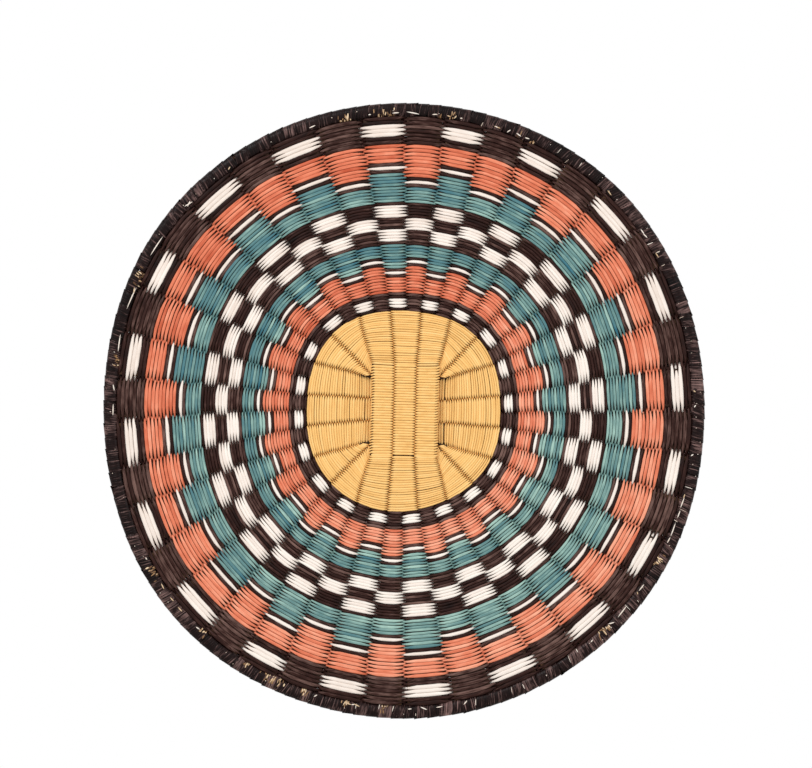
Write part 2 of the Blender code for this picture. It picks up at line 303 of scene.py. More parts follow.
print("the hand moves the top of the rim to", by_hand(np.array([[0.0, RADIUS, 0.0]]))[0].round(1).tolist())

# %% [markdown]
# ## One builder for everything long and thin
#
# Stems, splints and strips of leaf are all the same thing in mesh terms: a small section carried along a
# path. So there is one builder. A path has points, a direction that its width lies in, a width and a
# height at each point. A stem's section is round, a strip's is flat with short corners.
#
# Each point also keeps what the materials need later: how far along the stem it is, how far round it,
# whether it is on the crown or on the flank, and how much of it is hidden under other stems. A path gives
# that as its rise: 1 where it lies on top of a spoke, -1 where it lies under it. Its tone is how light its
# shade is, and its seed keeps its streaks apart from those of all others.

# %% Carry a section along paths
def make_path(points, ways, width, height, tone, seed, stretch, closed=False, rise=None):
    """A path for the builder. Width, height and tone are one value, or one for each point. Stretch is how
    many points lie between two spokes."""
    full = np.ones(len(points))
    return {"points": points, "ways": ways, "width": width * full, "height": height * full,
            "tone": tone * full, "seed": seed, "stretch": stretch, "closed": closed, "rise": rise}


def squared(wave, squareness):
    """A sine or cosine that goes round a squarer shape. Squareness 1 is round, and near 0 is square."""
    return np.sign(wave) * np.abs(wave) ** squareness


def frames(points, ways, closed):
    """Unit vectors across a path, in the direction of ways, and out of it."""
    if closed:
        run = np.roll(points, -1, 0) - np.roll(points, 1, 0)
    else:
        run = np.gradient(points, axis=0)
    run /= np.linalg.norm(run, axis=1, keepdims=True)
    side = ways - run * (ways * run).sum(1, keepdims=True)
    side /= np.linalg.norm(side, axis=1, keepdims=True)
    return side, np.cross(side, run)


def sweep(path, sides, squareness):
    """Points and attributes of one path, as arrays of (station, side)."""
    points, closed = path["points"], path["closed"]
    side, out = frames(points, path["ways"], closed)
    turn = (np.arange(sides) + 0.5) * 2 * np.pi / sides
    wide, high = [squared(wave, squareness) / 2 for wave in (np.cos(turn), np.sin(turn))]
    width, height = path["width"][:, None, None], path["height"][:, None, None]
    skin = points[:, None] + side[:, None] * width * wide[:, None] + out[:, None] * height * high[:, None]
    along = np.concatenate([[0], np.cumsum(np.linalg.norm(np.diff(points, axis=0), axis=1))])
    girth = (path["width"] + path["height"]) * 1.5  # about the distance round the section
    around = np.arange(sides) / sides
    grain = np.stack([np.repeat(along[:, None], sides, 1), girth[:, None] * around,
                      np.full((len(points), sides), path["seed"])], 2)
    flank = np.repeat(1 - np.abs(np.sin(turn))[None], len(points), 0)
    # Hidden is how far a point lies under a spoke; the materials paint shade there.
    hidden = 0 * flank
    if path["rise"] is not None:
        hidden = 0.5 - 0.5 * path["rise"][:, None] * np.sign(out[:, 2:] * high)
    tone = np.repeat(path["tone"][:, None], sides, 1)
    return skin, grain, np.stack([flank, hidden, tone], 2)


def ring_faces(stations, sides, closed):
    """Quads between the stations of one path, station by station."""
    i = np.arange(stations if closed else stations - 1)[:, None]
    j = np.arange(sides)[None]
    here, there = i * sides, (i + 1) % stations * sides
    ahead = (j + 1) % sides
    return np.stack([here + j, there + j, there + ahead, here + ahead], 2).reshape(-1, 4)


# %% [markdown]
# The same paths make the UV map. Each stretch between two spokes gets a cell of its own in a grid. The
# aspect is how many times longer than round a stretch is, and sets the shape of the cells, so that a
# texture baked from the map has no stretched places.
#
# A path that isn't a ring needs its two ends closed, each with a plain face across the section. Such a cap
# is a small even polygon in the corner of the map.

# %% Make a piece from paths
CELL_RIM = 0.06  # share of a cell that stays empty on each side
CAP_UV, CAP_UV_RADIUS = 0.004, 0.002  # middle and radius of the polygon of a cap


def strip_uvs(paths, sides, aspect):
    """UV corners of all the quads of the paths. A cell holds one stretch of a path."""
    lots = []  # for each quad along a path: its cell, its place there, and how many share the cell
    cell = 0
    for path in paths:
        quads = len(path["points"]) - (0 if path["closed"] else 1)
        step = path["stretch"]
        i = np.arange(quads)
        lots.append(np.stack([cell + i // step, i % step, np.minimum(step, quads - i // step * step)], 1))
        cell += -(-quads // step)  # rounded up
    cells, spots, shares = np.concatenate(lots).T[..., None]
    columns = max(1, round((cell / aspect) ** 0.5))
    rows = -(-cell // columns)
    room = 1 - 2 * CELL_RIM
    j = np.arange(sides)[None]
    left, right = [((spots + end) / shares * room + CELL_RIM + cells % columns) / columns + 0 * j
                   for end in (0, 1)]
    low, high = [((j + end) / sides * room + CELL_RIM + cells // columns) / rows for end in (0, 1)]
    return np.stack([np.stack(c, 2) for c in ((left, low), (right, low), (right, high), (left, high))], 2)


def add_piece(name, paths, material, sides=8, squareness=0.8, aspect=6, nodes=()):
    """Makes one piece of the plaque from all the given paths. Nodes are the solids that it replaces."""
    swept = [sweep(path, sides, squareness) for path in paths]
    skin, grain, marks = [np.concatenate(parts).reshape(-1, 3) for parts in zip(*swept)]
    faces, caps, first = [], [], 0
    for path in paths:
        stations = len(path["points"])
        after = first + stations * sides
        faces += (ring_faces(stations, sides, path["closed"]) + first).tolist()
        if not path["closed"]:
            caps += [list(range(first, first + sides)), list(range(after - sides, after))[::-1]]
        first = after
    mesh = bpy.data.meshes.new(name)
    mesh.from_pydata(place(by_hand(skin)).tolist(), [], faces + caps)
    turn = np.arange(sides) * 2 * np.pi / sides
    cap_uvs = CAP_UV + CAP_UV_RADIUS * np.stack([np.cos(turn), np.sin(turn)], 1)
    uvs = [strip_uvs(paths, sides, aspect).reshape(-1), np.tile(cap_uvs.reshape(-1), len(caps))]
    mesh.uv_layers.new(name="OFBake").data.foreach_set("uv", np.concatenate(uvs))
    for label, values in (("grain", grain), ("marks", marks)):
        store = mesh.attributes.new(label, "FLOAT_VECTOR", "POINT")
        store.data.foreach_set("vector", values.reshape(-1))
    mesh.polygons.foreach_set("use_smooth", [True] * len(faces) + [False] * len(caps))
    mesh.materials.append(material)
    piece = bpy.data.objects.new(name, mesh)
    bpy.context.scene.collection.objects.link(piece)
    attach(piece, "root")
    if nodes:
        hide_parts(*nodes)


# %% [markdown]
# ## Dyed stems
#
# The wefts are peeled stems of a desert shrub, thinner than a match and dyed before they are woven.
# Dye takes unevenly: each stem has its own shade, it drifts along the stem, and the fibres show as fine
# streaks along it. Shade is painted low on the flanks, where two stems touch, and where a stem dives
# between the spokes. That painted shade draws the dark line between two stems.
#
# One function makes the material from four colours. The streaks are 0.4 mm wide and 6 to 14 mm long, and
# the drift is about 9 mm long, on scales worked out from the grain that each point keeps in mm. Plant skin
# is no metal, and it bends light about as the shader's default does. So its roughness starts from 0.5 to
# 0.7, which is usual for dry stems, and only how strongly it shines is turned down.

# %% Material of a dyed stem
STREAK_STEP, DRIFT_STEP = 7.3, 3.1  # how far the noise moves on from one seed to the next
DRIFT_LONG = 9
DRIFT_ROUND = 0.15  # how far the drift moves on in one mm round the stem
DRIFT_STRENGTH = 0.7
RAMP = (0.05, 0.5, 0.95)  # places of the dark, middle and light shade
# The crevice colour is painted shade, on the low flanks and under a spoke.
FLANK = (0.35, 0.62)  # how far down the flank the crevice colour starts, and is full
SINK_SOFT = 0.16  # the same way, how soon it is full under a spoke
SINK_FULL = 0.95
ROUGH_SPREAD = 0.12  # streaks are this much smoother or rougher
BUMP = 0.35


def grain_noise(tree, grain, steps, detail):
    """Noise on the grain. Steps are how far it moves on in one mm along, in one mm round and per seed."""
    scaled = add_node(tree, "VectorMath", {0: grain, 1: steps}, operation="MULTIPLY")
    noise = add_node(tree, "TexNoise", {"Vector": scaled.outputs[0], "Scale": 1.0, "Detail": detail})
    return noise.outputs["Fac"]


def dyed_stem(name, shades, roughness, shine, groove, tones=(0.3, 0.7), streaks=(14, 0.4, 0.55),
              relief=0.06, sink=0.5):
    """Peeled stem, dyed. The shades are the dark, the middle and the light one and the painted shade of the
    crevices and of what lies under a spoke. Groove is how much of the last shows on the flanks. Tones are the
    places on the ramp for tone 0 and tone 1, and the tone may pass both. Streaks are their length, width and
    strength, and relief is their height. Sink is how far under a spoke the painted shade starts, 0.5 at its
    edge."""
    *dyes, painted_shade_colour = shades.split()
    material = bpy.data.materials.new(name)
    material.use_nodes = True
    tree = material.node_tree
    grain = add_node(tree, "Attribute", attribute_name="grain").outputs["Vector"]
    marks = add_node(tree, "Attribute", attribute_name="marks").outputs["Vector"]
    part = add_node(tree, "SeparateXYZ", {0: marks})
    long, wide, strength = streaks
    streak = grain_noise(tree, grain, (1 / long, 1 / wide, STREAK_STEP), 3.0)
    drift = grain_noise(tree, grain, (1 / DRIFT_LONG, DRIFT_ROUND, DRIFT_STEP), 2.0)
    even = (strength + DRIFT_STRENGTH) / 2  # what both noises add on average
    tone = add_node(tree, "MapRange", {"Value": part.outputs["Z"], "To Min": tones[0] - even,
                                       "To Max": tones[1] - even}, clamp=False)
    drifted = add_node(tree, "Math", {0: drift, 1: DRIFT_STRENGTH, 2: tone.outputs[0]},
                       operation="MULTIPLY_ADD")
    shade = add_node(tree, "Math", {0: streak, 1: strength, 2: drifted.outputs[0]},
                     operation="MULTIPLY_ADD", use_clamp=True)
    dye = add_node(tree, "ValToRGB", {0: shade.outputs[0]})
    set_ramp(dye, RAMP, dyes)
    # Painted shade: the crevice colour where the flank is low or the stem lies under a spoke.
    low = add_node(tree, "MapRange", {"Value": part.outputs["X"], "From Min": FLANK[0],
                                      "From Max": FLANK[1], "To Max": groove},
                   interpolation_type="SMOOTHSTEP")
    deep = add_node(tree, "MapRange", {"Value": part.outputs["Y"], "From Min": sink,
                                       "From Max": sink + SINK_SOFT, "To Max": SINK_FULL},
                    interpolation_type="SMOOTHSTEP")
    painted_shade_mask = add_node(tree, "Math", {0: low.outputs[0], 1: deep.outputs[0]}, operation="MAXIMUM")
    colour = add_node(tree, "Mix", {0: painted_shade_mask.outputs[0], 6: dye.outputs[0], 7: linear(painted_shade_colour)},
                      data_type="RGBA")
    rough = add_node(tree, "MapRange", {"Value": streak, "To Min": roughness + ROUGH_SPREAD,
                                        "To Max": roughness - ROUGH_SPREAD})
    fibres = add_node(tree, "Bump", {"Height": streak, "Strength": BUMP, "Distance": relief * MM})
    set_inputs(tree, tree.nodes["Principled BSDF"], {
        "Base Color": colour.outputs[2], "Roughness": rough.outputs[0], "Normal": fibres.outputs[0],
        "Specular IOR Level": shine})
    return material


# %% [markdown]
# The white is left from a coat of fine clay, so it is the roughest. The black is a brown-black plant dye
# over the stem's own skin: it took in short flecks, and keeps a faint sheen. The blue-green is two dyes,
# one over the other, and wanders most, from leaf green to blue. The yellow of the middle is close to the
# plain peeled stem.

# %% The five finishes of stem
# The last colour of each finish is its painted shade.
STEMS = {
    "white": dyed_stem("stem_whitened_with_clay", "E6D5C8 F8ECE2 FFFAF0 5A4034", 0.7, 0.25, 0.2,
                       streaks=(12, 0.4, 0.75), sink=0.78),
    "black": dyed_stem("stem_dyed_brown_black", "100504 341C17 7A5E56 0A0303", 0.5, 0.12, 0.7, (0.2, 0.8),
                       streaks=(6, 0.4, 0.95), sink=0.7),
    "coral": dyed_stem("stem_dyed_coral", "C05434 E98462 FFB494 3E1006", 0.6, 0.25, 0.85, (0.25, 0.75),
                       streaks=(10, 0.4, 0.8)),
    "teal": dyed_stem("stem_dyed_blue_green", "2E6A7C 668C8A A6C8BC 0A1C1C", 0.6, 0.25, 0.85, (0.12, 0.88),
                      streaks=(10, 0.4, 0.75)),
    "yellow": dyed_stem("stem_peeled_straw_yellow", "E0AA5E FBC87A FFD992 A46212", 0.55, 0.3, 0.6),
}
print("finishes of stem", sorted(STEMS))

# %% [markdown]
# ## Spokes
#
# The spokes are bundles of stiff twigs with the bark left on, laid side by side and flattened by the
# weave. They show only as dark points between the stems, but from the side and through the gaps they have
# to be there. Each bundle of the middle runs from fork to fork through its panel, the corner spokes start
# beside the panels, and every one splits in two at the edge of the yellow centre.

# %% Lines between the spokes
def centre_lines():
    """The twenty lines between the spokes of the centre, each from the panels to the fork."""
    near, tall, wide = BUNDLE_PITCH / 2, PANEL_LONG / 2, REAR_PANEL_LONG / 2
    quarter = [(near, tall), (PANEL_SIDE, tall), (PANEL_CORNER, PANEL_CORNER), (wide, PANEL_SIDE),
               (wide, near)]
    right = quarter + [(x, -z) for x, z in quarter[::-1]]
    starts = np.roll(np.array(right + [(-x, -z) for x, z in right]), 1, axis=0)
    angle = 2 * np.pi / COLUMNS * (np.arange(COLUMNS) - 0.5)
    ends = CENTRE_RADIUS * np.stack([np.sin(angle), np.cos(angle)], 1)
    return starts, ends


def field_lines(jitter):
    """The forty lines between the spokes of the coloured field, with a small error of each, in degrees."""
    angle = 2 * np.pi / SPOKES * (np.arange(SPOKES) - 1) + np.radians(jitter)
    way = np.stack([np.sin(angle), np.cos(angle)], 1)
    return CENTRE_RADIUS * way, FIELD_RADIUS * way


def centre_sag(column, reach):
    """How far a spoke of the centre lies in front of mid-thickness: the upright bundles come from the
    front panel, the level ones from the rear panel, and all meet at the fork."""
    around = (column + 1) % (COLUMNS // 2)  # 0 to 2 are upright, 5 to 7 level, and the rest corner spokes
    if around < 3:
        return PANEL_DEPTH * (1 - reach)
    return -PANEL_DEPTH * (1 - reach) if 5 <= around < 8 else 0 * reach


SPOKE_ERROR = 0.35  # in degrees
SEEDS = 500  # seeds of the streaks are spread over so many

chance = np.random.default_rng(7)
CENTRE = centre_lines()
FIELD = field_lines(chance.normal(0, SPOKE_ERROR, SPOKES))
print("lines between the spokes", len(CENTRE[0]), "and", len(FIELD[0]))

# %% [markdown]
# A splint is a flat stick between two lines. Four of them lie side by side in a spoke.

# %% Spokes as flat splints
SPLINTS = 4
SPLINT_OVERLAP = 1.08  # a splint is wider than its share, so that no gap shows
PANEL_ROOM, CENTRE_ROOM, FIELD_ROOM = 1.2, 2.6, 3.4  # between two spokes
CORNER_ROOM = -1.6  # corner spokes overlap where they are pushed in
SPOKE_END = 159.2  # inside the rim


def splints(before, after, depth, seam_room, seed):
    """Four flat sticks side by side between two lines, given as points along them. The seam room is
    what they leave free to the next spoke, where the stems change sides."""
    paths = []
    gap = after - before
    wide = np.linalg.norm(gap, axis=1)
    side = gap / wide[:, None]
    room = np.minimum(seam_room, 0.3 * wide)
    for number in range(SPLINTS):
        middle = before + side * (room / 2 + (wide - room) * (number + 0.5) / SPLINTS)[:, None]
        points = np.concatenate([middle, depth[:, None]], 1)
        ways = np.concatenate([side, np.zeros((len(side), 1))], 1)
        width = (wide - room) / SPLINTS * SPLINT_OVERLAP
        paths.append(make_path(points, ways, width, SPOKE_THICK, chance.random(), seed * 10.0 + number, 4))
    return paths


def centre_run(column, reach):
    """Both edges of a spoke of the centre, and its depth, at some reaches."""
    starts, ends = CENTRE
    lines = (column, (column + 1) % COLUMNS)
    before, after = [mix(starts[c], ends[c], reach[:, None]) for c in lines]
    return before, after, centre_sag(column, reach)


# %% Arms of a spoke, and bundles from end to end
def arms(column):
    """The two arms that a spoke forks into."""
    radii = np.linspace(CENTRE_RADIUS - 1, SPOKE_END, 13)
    paths = []
    for spoke in (2 * column, 2 * column + 1):
        before, after = [np.outer(radii, FIELD[0][line % SPOKES] / CENTRE_RADIUS)
                         for line in (spoke, spoke + 1)]
        paths += splints(before, after, 0 * radii, FIELD_ROOM, 100 + spoke)
    return paths


def bundle(column, opposite):
    """A bundle through its panel, from one fork to the other, with its four arms."""
    reach = np.linspace(1, 0, 7)
    near = centre_run(column, reach)
    far = centre_run(opposite, reach[::-1])
    before = np.concatenate([near[0], far[1]])
    after = np.concatenate([near[1], far[0]])
    depth = np.concatenate([near[2], far[2]])
    room = mix(PANEL_ROOM, CENTRE_ROOM, smooth(np.concatenate([reach, reach[::-1]]) * 5))
    return splints(before, after, depth, room, 20 + column) + arms(column) + arms(opposite)


# %% [markdown]
# Twigs with the bark on are brown and dull, with long pale cracks along them. The same streaks that draw
# the fibres of a stem draw these, only in other colours.

# %% Make the spokes
# The bark's dark brown is partly its own colour and partly painted shade for the gaps between the stems; its
# last colour is painted shade on the flanks.
TWIG = dyed_stem("twig_bundles_bark_and_painted_shade", "26170F 3C271A 62452F 180E08", 0.75, 0.25, 0.5)

for kind, first in (("upright", 0), ("level", 5)):
    for number, step in enumerate((-1, 0, 1), 1):
        paths = bundle((first + step) % COLUMNS, (first + 10 - step) % COLUMNS)
        add_piece(f"{kind}_twigs_{number}", paths, TWIG, squareness=0.5,
                  nodes=[f"{kind}_bundle_{number}"])
number = 0
for column in range(COLUMNS):
    if not np.any(centre_sag(column, np.zeros(1))):
        number += 1
        reach = np.linspace(-0.25, 1, 11)
        before, after, depth = centre_run(column, reach)
        room = mix(CORNER_ROOM, CENTRE_ROOM, smooth(reach * 4))
        paths = splints(before, after, depth, room, 60 + column) + arms(column)
        add_piece(f"corner_twigs_{number}", paths, TWIG, squareness=0.5,
                  nodes=[f"corner_spoke_{number}"])
print("corner spokes", number)

# %% [markdown]
# ## Laying a stem round the plaque
#
# A stem goes over one spoke and under the next. On top of a spoke it is as wide as the row it fills. In
# the gap between two spokes it dives, and there the stems of both kinds of row have to pass, so each has
# only half the room. That is why the end of every float is a point, and why the points of two
# neighbouring floats close like a zip.
#
# The path is worked out at ten stations on each spoke: close together near the dive, where it bends, and
# far apart on the flat. How a stem looks is kept in a small table:
#
# - turn: how far from the line between two spokes it has its full width again
# - climb: the share of the turn over which it rises
# - bow: 1 follows the round of the plaque, 0 goes straight across a spoke
# - level: how far its middle lies before or behind the middle of a spoke
# - thick and row_share: its height, and how much of its row it fills on top of a spoke
# - waist: the share of its width that is left where it dives
# - uneven, wander and astray: errors of its width, of its place in the row, and of where it dives
# - tone and side_lightening: how light it is, and how much lighter it is towards the lower right

# %% One ring of stem
LIGHTER_SIDE = 150  # where the stems are lightest, in degrees clockwise from the top
MOST_TURN = 0.36  # of the way to the next line
OWN_TONE = 0.6  # share of its shade that a stem keeps all round; the rest changes from spoke to spoke


def share_stations(chord, turn):
    """Distances from the line before a spoke, over ten stations, and the distance to the nearer line."""
    flat = chord / 2 - turn
    half = np.stack([0 * turn, 0.3 * turn, 0.62 * turn, turn, turn + 0.42 * flat], 1)
    forward = np.concatenate([half, chord[:, None] / 2], 1)
    backward = (chord[:, None] - half)[:, :0:-1]
    away = np.concatenate([forward, backward], 1)
    return away, np.minimum(away, chord[:, None] - away)


def ring_stem(lines, over, seam_reach, float_reach, sag, rows, look):
    """The path of one stem round the plaque. Reach goes from 0 to 1 along the lines between spokes. Over
    says for each spoke whether the stem lies on top, and sag how far the spoke is from mid-thickness."""
    starts, ends = lines
    count = len(starts)
    after = (np.arange(count) + 1) % count
    run = ends - starts
    pitch = np.linalg.norm(run, axis=1) / rows
    at_seam = mix(starts, ends, seam_reach)
    chord = np.linalg.norm(at_seam[after] - at_seam, axis=1)
    turn = np.minimum(look["turn"], MOST_TURN * chord)
    away, nearest = share_stations(chord, turn)
    share = away / chord[:, None]
    astray = look["astray"] * chance.normal(0, 1, count)
    share = share + mix(astray[:, None], astray[after, None], share) / chord[:, None]
    risen = np.minimum(nearest / turn[:, None], 1)
    reach = mix(seam_reach, float_reach, smooth(risen) * over[:, None])[..., None]
    before = mix(starts[:, None], ends[:, None], reach)
    beyond = mix(starts[after, None], ends[after, None], reach)
    straight = mix(before, beyond, share[..., None])
    angles = [np.unwrap(np.arctan2(p[..., 0], p[..., 1]), axis=1) for p in (before, beyond)]
    angles[1] += np.round((angles[0] - angles[1]) / (2 * np.pi)) * 2 * np.pi
    radii = [np.linalg.norm(p, axis=2) for p in (before, beyond)]
    angle, radius = mix(*angles, share), mix(*radii, share)
    bowed = np.stack([radius * np.sin(angle), radius * np.cos(angle)], 2)
    flat = mix(straight, bowed, look["bow"])
    level = sag + np.where(over, 1, -1) * look["level"]
    seam_depth = (sag + np.roll(sag, 1)) / 2
    first_half = np.arange(away.shape[1])[None] <= 5
    nearer = np.where(first_half, seam_depth[:, None], seam_depth[after, None])
    climb = np.sin(np.pi / 2 * np.minimum(nearest / (look["climb"] * turn)[:, None], 1))
    depth = mix(nearer, level[:, None], climb)
    local = mix(pitch[:, None], pitch[after, None], share)
    fullness = 1 + look["uneven"] * chance.normal(0, 1, count)[:, None]
    width = local * look["row_share"] * mix(look["waist"], fullness, risen)
    wander = look["wander"] * chance.normal(0, 1, (count, 1)) * smooth(risen)
    ways = np.concatenate([run / np.linalg.norm(run, axis=1)[:, None], np.zeros((count, 1))], 1)
    ways = np.repeat(ways[:, None], away.shape[1], 1)
    points = np.concatenate([flat, depth[..., None]], 2) + ways * wander[..., None]
    height = look["thick"] * (0.8 + 0.2 * risen)
    # Lighter towards the lower right, darker towards the upper left.
    side_lightening = look["side_lightening"] * np.cos(np.arctan2(starts[:, 0], starts[:, 1]) - np.radians(LIGHTER_SIDE))
    tone = OWN_TONE * chance.random() + (1 - OWN_TONE) * chance.random((count, 1)) + look["tone"]
    tone = tone + side_lightening[:, None] + 0 * away
    rise = np.where(over, 1, -1)[:, None] * climb
    return make_path(points.reshape(-1, 3), ways.reshape(-1, 3), width.reshape(-1), height.reshape(-1),
                     tone.reshape(-1), chance.random() * SEEDS, away.shape[1], True, rise.reshape(-1))


# %% [markdown]
# ## The coloured field
#
# Sixty rows show on every spoke. Two sorts of ring take turns: the light ones show on every second spoke,
# the dark ones on those between. Reading a spoke from the centre outwards gives its colours as a short
# word for each run: B for black, W white, C coral and T blue-green, with the number of rows. The two words
# make the whole checkered pattern, as they do for the weaver, who counts stems and not millimetres. The
# thicker stems near the rim took the dye deeper, and the stems are a little lighter towards the lower right.

# %% Weave the coloured field
RUNS = {
    "light": "B1 W3 B2 C5 B1 W1 B1 T8 B1 W4 B4 W4 B1 T9 B1 W1 B1 C5 B2 W3 B2",
    "dark": "B6 C9 B1 W1 B1 T4 B5 W4 B5 T5 B1 W1 B1 C9 B7",
}
COLOURS = {"B": "black", "W": "white", "C": "coral", "T": "teal"}
FULL = {"black": 1.03, "white": 1.1, "coral": 1.07, "teal": 1.06}  # share of the row that a stem fills
COLOUR_LIGHTENING = {"black": 0.04, "white": 0.25, "coral": 0.25, "teal": 0.13}  # how much lighter it is towards the lower right, and darker towards the upper left
SEAM_SHARE = {"dark": 0.25, "light": 0.75}  # place of a stem in its row where it dives
FLOAT_SHARE = {"dark": 0.44, "light": 0.56}  # and on top of a spoke
FIELD_LOOK = {"climb": 0.65, "bow": 1.0, "level": 2.0, "thick": 1.3, "waist": 0.5, "uneven": 0.05,
              "wander": 0.06}


def field_reach(row):
    """Where a row, or a place in it, is on the way from the centre's edge to the rim, from 0 to 1."""
    whole = int(row)
    radius = mix(row_radius(whole), row_radius(whole + 1), row - whole)
    return (radius - CENTRE_RADIUS) / (FIELD_RADIUS - CENTRE_RADIUS)


def field_stem(family, row, colour):
    """One ring of the coloured field. Towards the rim it turns more slowly, and is less even and darker."""
    pitch = row_radius(row + 1) - row_radius(row)
    out = row / ROWS
    look = FIELD_LOOK | {
        "turn": 4.0 + 2.4 * out, "astray": 0.2 + 0.5 * out * out, "tone": 0.16 - 0.28 * out,
        "row_share": FULL[colour] * pitch * ROWS / (FIELD_RADIUS - CENTRE_RADIUS), "side_lightening": COLOUR_LIGHTENING[colour],
    }
    over = np.arange(SPOKES) % 2 == (0 if family == "light" else 1)
    seam, middle = [field_reach(row + share[family]) for share in (SEAM_SHARE, FLOAT_SHARE)]
    return ring_stem(FIELD, over, seam, middle, np.zeros(SPOKES), ROWS, look)


def weft_nodes(family):
    """The solids of one sort of ring, each with its outer radius in mm, from the centre outwards."""
    return sorted((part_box(name)[1][0] / MM / ACROSS, name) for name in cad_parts
                  if name.startswith(f"weft_{family}_"))


def weave_field(family):
    """Makes the pieces of one sort of ring, one for each word, and returns how many rows they cover."""
    row = 0
    waiting = weft_nodes(family)
    for number, word in enumerate(RUNS[family].split(), 1):
        colour, rows = COLOURS[word[0]], int(word[1:])
        paths = [field_stem(family, row + step, colour) for step in range(rows)]
        row += rows
        nodes = [name for radius, name in waiting if radius < row_radius(row) + 1 or row == ROWS]
        waiting = [pair for pair in waiting if pair[1] not in nodes]
        add_piece(f"{family}_stems_{number:02}_{colour}", paths, STEMS[colour], nodes=nodes, aspect=4)
    return row


for family in RUNS:
    print(family, "rows", weave_field(family))

# %% [markdown]
# ## The yellow centre
#
# Inside the fork the stems are finer and follow the panels: the first rounds are square, the last are
# round. The lines between the spokes already run from the square to the round, so the same ring function
# serves, with less bow near the panels. The spokes sag from the two panels to the level of the field.

# %% Weave the round part of the centre
CENTRE_ROWS = 23  # counted on the photograph
FINE_THICK = 1.05
FINE_LEVEL = 1.75
CENTRE_LOOK = {"turn": 2.2, "climb": 0.6, "level": FINE_LEVEL, "thick": FINE_THICK, "row_share": 1.07,
               "waist": 0.5, "uneven": 0.08, "wander": 0.06, "astray": 0.12, "tone": 0.0, "side_lightening": 0.0}


def centre_stem(row, family):
    """One ring of the yellow centre. The further out, the rounder."""
    share = SEAM_SHARE[family]
    seam = (row + share) / CENTRE_ROWS
    middle = (row + 0.5 + (share - 0.5) / 3) / CENTRE_ROWS
    over = np.arange(COLUMNS) % 2 == (0 if family == "light" else 1)
    sag = np.array([float(centre_sag(column, middle)) for column in range(COLUMNS)])
    return ring_stem(CENTRE, over, seam, middle, sag, CENTRE_ROWS, CENTRE_LOOK | {"bow": seam})


node = 0
for number, rows in enumerate(np.array_split(np.arange(CENTRE_ROWS), 2), 1):
    for family in ("light", "dark"):
        node += 1
        paths = [centre_stem(row, family) for row in rows]
        add_piece(f"centre_stems_{number}_{family}", paths, STEMS["yellow"], aspect=3,
                  nodes=[f"weft_centre_{node}"])
print("rows of the centre", CENTRE_ROWS)

# %% [markdown]
# ## The two panels
#
# Each panel is darned before the round weave starts. One stem goes back and forth over and under its three
# bundles, and turns round the edge of the outer ones. Thirty-four rows show on each bundle, so the
# stem passes sixty-eight times.

# %% Darn the panels
PASSES = 68
PASS_PITCH = PANEL_LONG / PASSES
PANEL_EDGE = 17.4  # from the middle of the panel to where its stem starts to turn
PANEL_TURN, PANEL_CLIMB = 1.8, 1.2  # how far from a bundle's edge the stem is at full width, and on top
PANEL_STATIONS = (0, 0.5, 1.1, PANEL_TURN, 3.8, 6.0, 8.2, 10.2, 10.9, 11.5)  # on a bundle, from its edge


def panel_pass(number, passes):
    """Stations of one pass, from its entry to its turn: across, up, depth, rise and width share."""
    rightward = number % 2 == 0
    up = (number + 0.5 - passes / 2) * PASS_PITCH
    stations = []
    for column in range(3) if rightward else range(2, -1, -1):
        left = BUNDLE_PITCH * (column - 1.5)
        over = (number + column) % 2 == 0
        nudge = chance.normal(0, 0.03)
        for away in PANEL_STATIONS:
            near = min(away, BUNDLE_PITCH - away)
            risen = min(near / PANEL_TURN, 1.0)
            across = left + away if rightward else left + BUNDLE_PITCH - away
            outside = abs(across) > PANEL_EDGE - 1.0
            climb = 1.0 if outside else float(np.sin(np.pi / 2 * min(near / PANEL_CLIMB, 1)))
            across = float(np.clip(across, -PANEL_EDGE, PANEL_EDGE))
            if abs(across) == PANEL_EDGE and 0.1 < near < 0.9:
                continue  # the edge has its station already
            rise = (1 if over else -1) * climb
            stations.append((across, up + nudge * risen, FINE_LEVEL * rise, rise, risen))
    return stations


def panel_stem(passes):
    """The whole stem of a panel, with its turns round the outer bundles."""
    stations = []
    for number in range(passes):
        row = panel_pass(number, passes)
        if stations:
            last, first = stations[-1], row[0]
            side, up = np.sign(last[0]), (last[1] + first[1]) / 2
            for end, share, out in ((last, 0.7, 0.65), (last, 0, 0.9), (first, 0.7, 0.65)):
                stations.append((side * (PANEL_EDGE + out), up, end[2] * share, end[3] * share, 0.2))
        stations += row
    return np.array(stations)


def add_panel(name, node, forward, passes):
    """Makes a darned panel. The rear one is the front one turned a quarter and set behind."""
    stations = panel_stem(passes)
    across, up, depth = stations[:, 0], stations[:, 1], stations[:, 2]
    ways = np.zeros((len(stations), 3))
    if forward:
        points = np.stack([across, up, PANEL_DEPTH + depth], 1)
        ways[:, 1] = 1
    else:
        points = np.stack([up, across, depth - PANEL_DEPTH], 1)
        ways[:, 0] = 1
    width = PASS_PITCH * (1.1 + stations[:, 4])  # two pitches on a bundle, as every second pass shows there
    path = make_path(points, ways, width, FINE_THICK, 0.2 + 0.6 * chance.random(len(stations)),
                     chance.random() * SEEDS, len(PANEL_STATIONS), rise=stations[:, 3])
    add_piece(name, [path], STEMS["yellow"], nodes=[node], aspect=3)


add_panel("front_panel_stem", "front_panel_weft", True, round(PANEL_LONG / PASS_PITCH))
add_panel("rear_panel_stem", "rear_panel_weft", False, round(REAR_PANEL_LONG / PASS_PITCH))
print("a pass of the panels is", round(PASS_PITCH, 2), "mm wide")

# %% [markdown]
# ## The rim
#
# At the edge the spokes are bent over and laid along it, as a core. A strip of leaf, dark and a little
# shiny, is wound round that core about a hundred and fifty times. The laps overlap, so one long side of
# each is lifted and the other lies under. No two laps are equally wide. A leaf has long veins, which
# stand up as fine ridges across the rim.

